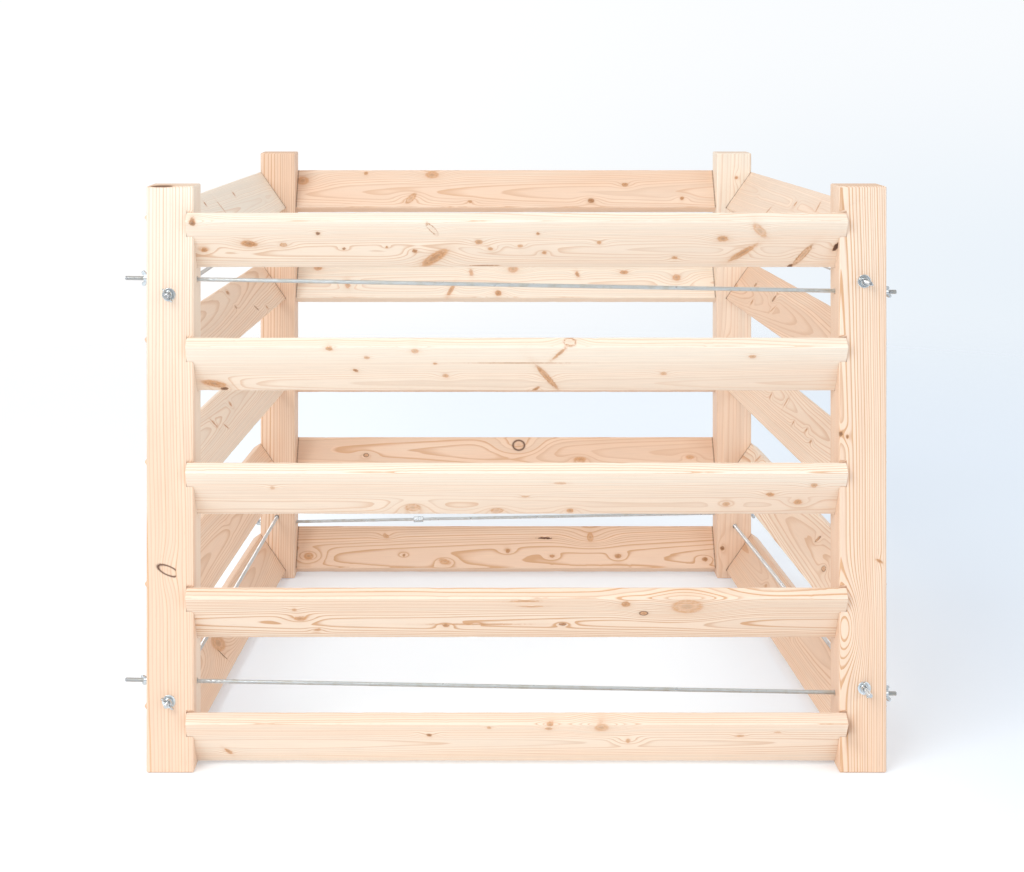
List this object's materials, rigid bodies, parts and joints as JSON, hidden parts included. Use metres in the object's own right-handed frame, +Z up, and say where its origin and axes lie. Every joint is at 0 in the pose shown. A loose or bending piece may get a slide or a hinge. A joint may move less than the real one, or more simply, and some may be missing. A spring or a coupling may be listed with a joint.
{
  "type": "compost bin",
  "caption": "Open four-sided compost bin: corner posts with slanted housings carry outward-leaning timber slats, clamped by threaded rods, washers and wing nuts.",
  "frame": {"origin": "on the ground in the middle of the bin, between the four feet", "axes": "+Z up, front facing -Y, +X to the right as the front is seen"},
  "size_m": [1.055, 1.0692, 0.792],
  "materials": {
    "post_wood": "planed, untreated larch-like softwood",
    "slat_wood": "planed, untreated larch-like softwood with knots",
    "zinc_steel": "bright zinc plating"
  },
  "bodies": {
    "frame": {"front_left_post": "post_wood", "front_right_post": "post_wood", "back_right_post": "post_wood", "back_left_post": "post_wood", "upper_rods": "zinc_steel", "lower_rods": "zinc_steel", "coupling_nut": "zinc_steel"},
    "front_slat_1": {"front_slat_1": "slat_wood"},
    "front_slat_2": {"front_slat_2": "slat_wood"},
    "front_slat_3": {"front_slat_3": "slat_wood"},
    "front_slat_4": {"front_slat_4": "slat_wood"},
    "front_slat_5": {"front_slat_5": "slat_wood"},
    "right_slat_1": {"right_slat_1": "slat_wood"},
    "right_slat_2": {"right_slat_2": "slat_wood"},
    "right_slat_3": {"right_slat_3": "slat_wood"},
    "right_slat_4": {"right_slat_4": "slat_wood"},
    "right_slat_5": {"right_slat_5": "slat_wood"},
    "back_slat_1": {"back_slat_1": "slat_wood"},
    "back_slat_2": {"back_slat_2": "slat_wood"},
    "back_slat_3": {"back_slat_3": "slat_wood"},
    "back_slat_4": {"back_slat_4": "slat_wood"},
    "back_slat_5": {"back_slat_5": "slat_wood"},
    "left_slat_1": {"left_slat_1": "slat_wood"},
    "left_slat_2": {"left_slat_2": "slat_wood"},
    "left_slat_3": {"left_slat_3": "slat_wood"},
    "left_slat_4": {"left_slat_4": "slat_wood"},
    "left_slat_5": {"left_slat_5": "slat_wood"},
    "washer_front_upper_left": {"washer_front_upper_left": "zinc_steel"},
    "wing_nut_front_upper_left": {"wing_nut_front_upper_left": "zinc_steel"},
    "washer_front_upper_right": {"washer_front_upper_right": "zinc_steel"},
    "wing_nut_front_upper_right": {"wing_nut_front_upper_right": "zinc_steel"},
    "washer_front_lower_left": {"washer_front_lower_left": "zinc_steel"},
    "wing_nut_front_lower_left": {"wing_nut_front_lower_left": "zinc_steel"},
    "washer_front_lower_right": {"washer_front_lower_right": "zinc_steel"},
    "wing_nut_front_lower_right": {"wing_nut_front_lower_right": "zinc_steel"},
    "washer_right_upper_front": {"washer_right_upper_front": "zinc_steel"},
    "wing_nut_right_upper_front": {"wing_nut_right_upper_front": "zinc_steel"},
    "washer_right_upper_back": {"washer_right_upper_back": "zinc_steel"},
    "wing_nut_right_upper_back": {"wing_nut_right_upper_back": "zinc_steel"},
    "washer_right_lower_front": {"washer_right_lower_front": "zinc_steel"},
    "wing_nut_right_lower_front": {"wing_nut_right_lower_front": "zinc_steel"},
    "washer_right_lower_back": {"washer_right_lower_back": "zinc_steel"},
    "wing_nut_right_lower_back": {"wing_nut_right_lower_back": "zinc_steel"},
    "washer_back_upper_right": {"washer_back_upper_right": "zinc_steel"},
    "wing_nut_back_upper_right": {"wing_nut_back_upper_right": "zinc_steel"},
    "washer_back_upper_left": {"washer_back_upper_left": "zinc_steel"},
    "wing_nut_back_upper_left": {"wing_nut_back_upper_left": "zinc_steel"},
    "washer_back_lower_right": {"washer_back_lower_right": "zinc_steel"},
    "wing_nut_back_lower_right": {"wing_nut_back_lower_right": "zinc_steel"},
    "washer_back_lower_left": {"washer_back_lower_left": "zinc_steel"},
    "wing_nut_back_lower_left": {"wing_nut_back_lower_left": "zinc_steel"},
    "washer_left_upper_back": {"washer_left_upper_back": "zinc_steel"},
    "wing_nut_left_upper_back": {"wing_nut_left_upper_back": "zinc_steel"},
    "washer_left_upper_front": {"washer_left_upper_front": "zinc_steel"},
    "wing_nut_left_upper_front": {"wing_nut_left_upper_front": "zinc_steel"},
    "washer_left_lower_back": {"washer_left_lower_back": "zinc_steel"},
    "wing_nut_left_lower_back": {"wing_nut_left_lower_back": "zinc_steel"},
    "washer_left_lower_front": {"washer_left_lower_front": "zinc_steel"},
    "wing_nut_left_lower_front": {"wing_nut_left_lower_front": "zinc_steel"}
  },
  "joints": [
    {"name": "front_slat_1_lift", "type": "slide", "parent": "frame", "child": "front_slat_1", "axis": [0, -0.5736, 0.8192], "range_m": [0, 0.09]},
    {"name": "front_slat_2_lift", "type": "slide", "parent": "frame", "child": "front_slat_2", "axis": [0, -0.5736, 0.8192], "range_m": [0, 0.09]},
    {"name": "front_slat_3_lift", "type": "slide", "parent": "frame", "child": "front_slat_3", "axis": [0, -0.5736, 0.8192], "range_m": [0, 0.09]},
    {"name": "front_slat_4_lift", "type": "slide", "parent": "frame", "child": "front_slat_4", "axis": [0, -0.5736, 0.8192], "range_m": [0, 0.09]},
    {"name": "front_slat_5_lift", "type": "slide", "parent": "frame", "child": "front_slat_5", "axis": [0, -0.5736, 0.8192], "range_m": [0, 0.09]},
    {"name": "right_slat_1_lift", "type": "slide", "parent": "frame", "child": "right_slat_1", "axis": [0.573, 0.0263, 0.8192], "range_m": [0, 0.09]},
    {"name": "right_slat_2_lift", "type": "slide", "parent": "frame", "child": "right_slat_2", "axis": [0.573, 0.0263, 0.8192], "range_m": [0, 0.09]},
    {"name": "right_slat_3_lift", "type": "slide", "parent": "frame", "child": "right_slat_3", "axis": [0.573, 0.0263, 0.8192], "range_m": [0, 0.09]},
    {"name": "right_slat_4_lift", "type": "slide", "parent": "frame", "child": "right_slat_4", "axis": [0.573, 0.0263, 0.8192], "range_m": [0, 0.09]},
    {"name": "right_slat_5_lift", "type": "slide", "parent": "frame", "child": "right_slat_5", "axis": [0.573, 0.0263, 0.8192], "range_m": [0, 0.09]},
    {"name": "back_slat_1_lift", "type": "slide", "parent": "frame", "child": "back_slat_1", "axis": [0, 0.5736, 0.8192], "range_m": [0, 0.09]},
    {"name": "back_slat_2_lift", "type": "slide", "parent": "frame", "child": "back_slat_2", "axis": [0, 0.5736, 0.8192], "range_m": [0, 0.09]},
    {"name": "back_slat_3_lift", "type": "slide", "parent": "frame", "child": "back_slat_3", "axis": [0, 0.5736, 0.8192], "range_m": [0, 0.09]},
    {"name": "back_slat_4_lift", "type": "slide", "parent": "frame", "child": "back_slat_4", "axis": [0, 0.5736, 0.8192], "range_m": [0, 0.09]},
    {"name": "back_slat_5_lift", "type": "slide", "parent": "frame", "child": "back_slat_5", "axis": [0, 0.5736, 0.8192], "range_m": [0, 0.09]},
    {"name": "left_slat_1_lift", "type": "slide", "parent": "frame", "child": "left_slat_1", "axis": [-0.573, 0.0263, 0.8192], "range_m": [0, 0.09]},
    {"name": "left_slat_2_lift", "type": "slide", "parent": "frame", "child": "left_slat_2", "axis": [-0.573, 0.0263, 0.8192], "range_m": [0, 0.09]},
    {"name": "left_slat_3_lift", "type": "slide", "parent": "frame", "child": "left_slat_3", "axis": [-0.573, 0.0263, 0.8192], "range_m": [0, 0.09]},
    {"name": "left_slat_4_lift", "type": "slide", "parent": "frame", "child": "left_slat_4", "axis": [-0.573, 0.0263, 0.8192], "range_m": [0, 0.09]},
    {"name": "left_slat_5_lift", "type": "slide", "parent": "frame", "child": "left_slat_5", "axis": [-0.573, 0.0263, 0.8192], "range_m": [0, 0.09]},
    {"name": "front_upper_left_feed", "type": "slide", "parent": "frame", "child": "washer_front_upper_left", "axis": [-0.9998, 0, 0.0182], "range_m": [0, 0.0201]},
    {"name": "front_upper_left_turn", "type": "hinge", "parent": "washer_front_upper_left", "child": "wing_nut_front_upper_left", "pos_m": [-0.50173, -0.468, 0.66415], "axis": [-0.9998, 0, 0.0182], "range_deg": [0, 7200]},
    {"name": "front_upper_right_feed", "type": "slide", "parent": "frame", "child": "washer_front_upper_right", "axis": [0.9998, 0, -0.0182], "range_m": [0, 0.0081]},
    {"name": "front_upper_right_turn", "type": "hinge", "parent": "washer_front_upper_right", "child": "wing_nut_front_upper_right", "pos_m": [0.50173, -0.468, 0.64593], "axis": [0.9998, 0, -0.0182], "range_deg": [0, 2880]},
    {"name": "front_lower_left_feed", "type": "slide", "parent": "frame", "child": "washer_front_lower_left", "axis": [-0.9998, 0, 0.0182], "range_m": [0, 0.0201]},
    {"name": "front_lower_left_turn", "type": "hinge", "parent": "washer_front_lower_left", "child": "wing_nut_front_lower_left", "pos_m": [-0.50173, -0.468, 0.11477], "axis": [-0.9998, 0, 0.0182], "range_deg": [0, 7200]},
    {"name": "front_lower_right_feed", "type": "slide", "parent": "frame", "child": "washer_front_lower_right", "axis": [0.9998, 0, -0.0182], "range_m": [0, 0.0081]},
    {"name": "front_lower_right_turn", "type": "hinge", "parent": "washer_front_lower_right", "child": "wing_nut_front_lower_right", "pos_m": [0.50173, -0.468, 0.09655], "axis": [0.9998, 0, -0.0182], "range_deg": [0, 2880]},
    {"name": "right_upper_front_feed", "type": "slide", "parent": "frame", "child": "washer_right_upper_front", "axis": [0.0459, -0.9988, 0.0181], "range_m": [0, 0.0201]},
    {"name": "right_upper_front_turn", "type": "hinge", "parent": "washer_right_upper_front", "child": "wing_nut_right_upper_front", "pos_m": [0.46956, -0.50192, 0.66415], "axis": [0.0459, -0.9988, 0.0181], "range_deg": [0, 7200]},
    {"name": "right_upper_back_feed", "type": "slide", "parent": "frame", "child": "washer_right_upper_back", "axis": [-0.0459, 0.9988, -0.0181], "range_m": [0, 0.0081]},
    {"name": "right_upper_back_turn", "type": "hinge", "parent": "washer_right_upper_back", "child": "wing_nut_right_upper_back", "pos_m": [0.42344, 0.50192, 0.64592], "axis": [-0.0459, 0.9988, -0.0181], "range_deg": [0, 2880]},
    {"name": "right_lower_front_feed", "type": "slide", "parent": "frame", "child": "washer_right_lower_front", "axis": [0.0459, -0.9988, 0.0181], "range_m": [0, 0.0201]},
    {"name": "right_lower_front_turn", "type": "hinge", "parent": "washer_right_lower_front", "child": "wing_nut_right_lower_front", "pos_m": [0.46956, -0.50192, 0.11478], "axis": [0.0459, -0.9988, 0.0181], "range_deg": [0, 7200]},
    {"name": "right_lower_back_feed", "type": "slide", "parent": "frame", "child": "washer_right_lower_back", "axis": [-0.0459, 0.9988, -0.0181], "range_m": [0, 0.0081]},
    {"name": "right_lower_back_turn", "type": "hinge", "parent": "washer_right_lower_back", "child": "wing_nut_right_lower_back", "pos_m": [0.42344, 0.50192, 0.09655], "axis": [-0.0459, 0.9988, -0.0181], "range_deg": [0, 2880]},
    {"name": "back_upper_right_feed", "type": "slide", "parent": "frame", "child": "washer_back_upper_right", "axis": [0.9998, 0, 0.02], "range_m": [0, 0.0201]},
    {"name": "back_upper_right_turn", "type": "hinge", "parent": "washer_back_upper_right", "child": "wing_nut_back_upper_right", "pos_m": [0.45874, 0.468, 0.66421], "axis": [0.9998, 0, 0.02], "range_deg": [0, 7200]},
    {"name": "back_upper_left_feed", "type": "slide", "parent": "frame", "child": "washer_back_upper_left", "axis": [-0.9998, 0, -0.02], "range_m": [0, 0.0081]},
    {"name": "back_upper_left_turn", "type": "hinge", "parent": "washer_back_upper_left", "child": "wing_nut_back_upper_left", "pos_m": [-0.45874, 0.468, 0.64586], "axis": [-0.9998, 0, -0.02], "range_deg": [0, 2880]},
    {"name": "back_lower_right_feed", "type": "slide", "parent": "frame", "child": "washer_back_lower_right", "axis": [0.9998, 0, 0.02], "range_m": [0, 0.0201]},
    {"name": "back_lower_right_turn", "type": "hinge", "parent": "washer_back_lower_right", "child": "wing_nut_back_lower_right", "pos_m": [0.45874, 0.468, 0.11484], "axis": [0.9998, 0, 0.02], "range_deg": [0, 7200]},
    {"name": "back_lower_left_feed", "type": "slide", "parent": "frame", "child": "washer_back_lower_left", "axis": [-0.9998, 0, -0.02], "range_m": [0, 0.0081]},
    {"name": "back_lower_left_turn", "type": "hinge", "parent": "washer_back_lower_left", "child": "wing_nut_back_lower_left", "pos_m": [-0.45874, 0.468, 0.09649], "axis": [-0.9998, 0, -0.02], "range_deg": [0, 2880]},
    {"name": "left_upper_back_feed", "type": "slide", "parent": "frame", "child": "washer_left_upper_back", "axis": [0.0459, 0.9988, 0.0181], "range_m": [0, 0.0201]},
    {"name": "left_upper_back_turn", "type": "hinge", "parent": "washer_left_upper_back", "child": "wing_nut_left_upper_back", "pos_m": [-0.42344, 0.50192, 0.66415], "axis": [0.0459, 0.9988, 0.0181], "range_deg": [0, 7200]},
    {"name": "left_upper_front_feed", "type": "slide", "parent": "frame", "child": "washer_left_upper_front", "axis": [-0.0459, -0.9988, -0.0181], "range_m": [0, 0.0081]},
    {"name": "left_upper_front_turn", "type": "hinge", "parent": "washer_left_upper_front", "child": "wing_nut_left_upper_front", "pos_m": [-0.46956, -0.50192, 0.64592], "axis": [-0.0459, -0.9988, -0.0181], "range_deg": [0, 2880]},
    {"name": "left_lower_back_feed", "type": "slide", "parent": "frame", "child": "washer_left_lower_back", "axis": [0.0459, 0.9988, 0.0181], "range_m": [0, 0.0201]},
    {"name": "left_lower_back_turn", "type": "hinge", "parent": "washer_left_lower_back", "child": "wing_nut_left_lower_back", "pos_m": [-0.42344, 0.50192, 0.11478], "axis": [0.0459, 0.9988, 0.0181], "range_deg": [0, 7200]},
    {"name": "left_lower_front_feed", "type": "slide", "parent": "frame", "child": "washer_left_lower_front", "axis": [-0.0459, -0.9988, -0.0181], "range_m": [0, 0.0081]},
    {"name": "left_lower_front_turn", "type": "hinge", "parent": "washer_left_lower_front", "child": "wing_nut_left_lower_front", "pos_m": [-0.46956, -0.50192, 0.09655], "axis": [-0.0459, -0.9988, -0.0181], "range_deg": [0, 2880]}
  ],
  "couplings": [
    {"joint": "front_upper_left_feed", "follows": "front_upper_left_turn", "m_per_rad": 0.00015915},
    {"joint": "front_upper_right_feed", "follows": "front_upper_right_turn", "m_per_rad": 0.00015915},
    {"joint": "front_lower_left_feed", "follows": "front_lower_left_turn", "m_per_rad": 0.00015915},
    {"joint": "front_lower_right_feed", "follows": "front_lower_right_turn", "m_per_rad": 0.00015915},
    {"joint": "right_upper_front_feed", "follows": "right_upper_front_turn", "m_per_rad": 0.00015915},
    {"joint": "right_upper_back_feed", "follows": "right_upper_back_turn", "m_per_rad": 0.00015915},
    {"joint": "right_lower_front_feed", "follows": "right_lower_front_turn", "m_per_rad": 0.00015915},
    {"joint": "right_lower_back_feed", "follows": "right_lower_back_turn", "m_per_rad": 0.00015915},
    {"joint": "back_upper_right_feed", "follows": "back_upper_right_turn", "m_per_rad": 0.00015915},
    {"joint": "back_upper_left_feed", "follows": "back_upper_left_turn", "m_per_rad": 0.00015915},
    {"joint": "back_lower_right_feed", "follows": "back_lower_right_turn", "m_per_rad": 0.00015915},
    {"joint": "back_lower_left_feed", "follows": "back_lower_left_turn", "m_per_rad": 0.00015915},
    {"joint": "left_upper_back_feed", "follows": "left_upper_back_turn", "m_per_rad": 0.00015915},
    {"joint": "left_upper_front_feed", "follows": "left_upper_front_turn", "m_per_rad": 0.00015915},
    {"joint": "left_lower_back_feed", "follows": "left_lower_back_turn", "m_per_rad": 0.00015915},
    {"joint": "left_lower_front_feed", "follows": "left_lower_front_turn", "m_per_rad": 0.00015915}
  ]
}
